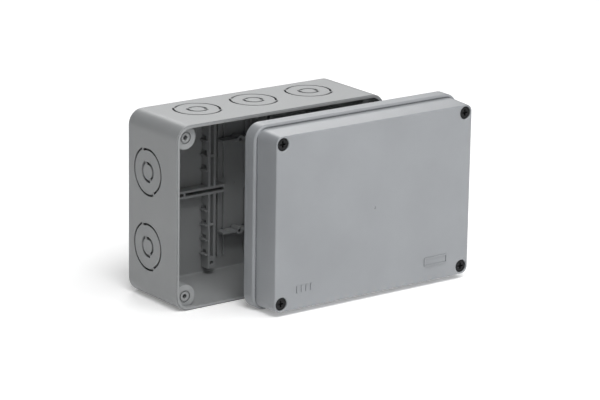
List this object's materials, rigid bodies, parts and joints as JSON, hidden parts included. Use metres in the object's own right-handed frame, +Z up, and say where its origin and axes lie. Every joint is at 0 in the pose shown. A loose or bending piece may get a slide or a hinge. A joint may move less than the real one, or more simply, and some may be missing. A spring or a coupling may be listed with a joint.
{
  "type": "electrical junction box",
  "caption": "Rectangular grey plastic surface-mount junction box with round knock-outs in its walls, a slotted inner frame and a screw-down cover set aside.",
  "frame": {"origin": "centre of the flat back face of the base, the face that goes against a wall", "axes": "+Y into the wall, opening and cover towards -Y, +Z up with the box standing on a long side wall, +X to the right"},
  "size_m": [0.1926, 0.095, 0.114],
  "materials": {
    "base_plastic": "moulded grey plastic, fine even texture",
    "knockout_plastic": "moulded grey plastic, same as the base",
    "cover_plastic": "moulded grey plastic, smooth satin face",
    "gasket_rubber": "soft black rubber",
    "screw": "black moulded plastic"
  },
  "bodies": {
    "base": {"base_box": "base_plastic", "knockout_ring_left_upper": "knockout_plastic", "knockout_centre_left_upper": "knockout_plastic", "knockout_ring_left_lower": "knockout_plastic", "knockout_centre_left_lower": "knockout_plastic", "knockout_ring_right_upper": "knockout_plastic", "knockout_centre_right_upper": "knockout_plastic", "knockout_ring_right_lower": "knockout_plastic", "knockout_centre_right_lower": "knockout_plastic", "knockout_ring_top_left": "knockout_plastic", "knockout_centre_top_left": "knockout_plastic", "knockout_ring_top_middle": "knockout_plastic", "knockout_centre_top_middle": "knockout_plastic", "knockout_ring_top_right": "knockout_plastic", "knockout_centre_top_right": "knockout_plastic", "knockout_ring_bottom_left": "knockout_plastic", "knockout_centre_bottom_left": "knockout_plastic", "knockout_ring_bottom_middle": "knockout_plastic", "knockout_centre_bottom_middle": "knockout_plastic", "knockout_ring_bottom_right": "knockout_plastic", "knockout_centre_bottom_right": "knockout_plastic"},
    "cover": {"cover": "cover_plastic", "cover_gasket": "gasket_rubber"},
    "screw_top_left": {"cover_screw_top_left": "screw"},
    "screw_top_right": {"cover_screw_top_right": "screw"},
    "screw_bottom_left": {"cover_screw_bottom_left": "screw"},
    "screw_bottom_right": {"cover_screw_bottom_right": "screw"}
  },
  "joints": [
    {"name": "cover_lift_off", "type": "slide", "parent": "base", "child": "cover", "axis": [0.9361, -0.3517, 0], "range_m": [-0.04123, 0]},
    {"name": "screw_turn_top_left", "type": "hinge", "parent": "cover", "child": "screw_top_left", "pos_m": [-0.0303, -0.0938, 0.0489], "axis": [0, 1, 0], "continuous": true},
    {"name": "screw_turn_top_right", "type": "hinge", "parent": "cover", "child": "screw_top_right", "pos_m": [0.1075, -0.0938, 0.0489], "axis": [0, 1, 0], "continuous": true},
    {"name": "screw_turn_bottom_left", "type": "hinge", "parent": "cover", "child": "screw_bottom_left", "pos_m": [-0.0303, -0.0938, -0.0489], "axis": [0, 1, 0], "continuous": true},
    {"name": "screw_turn_bottom_right", "type": "hinge", "parent": "cover", "child": "screw_bottom_right", "pos_m": [0.1075, -0.0938, -0.0489], "axis": [0, 1, 0], "continuous": true}
  ]
}
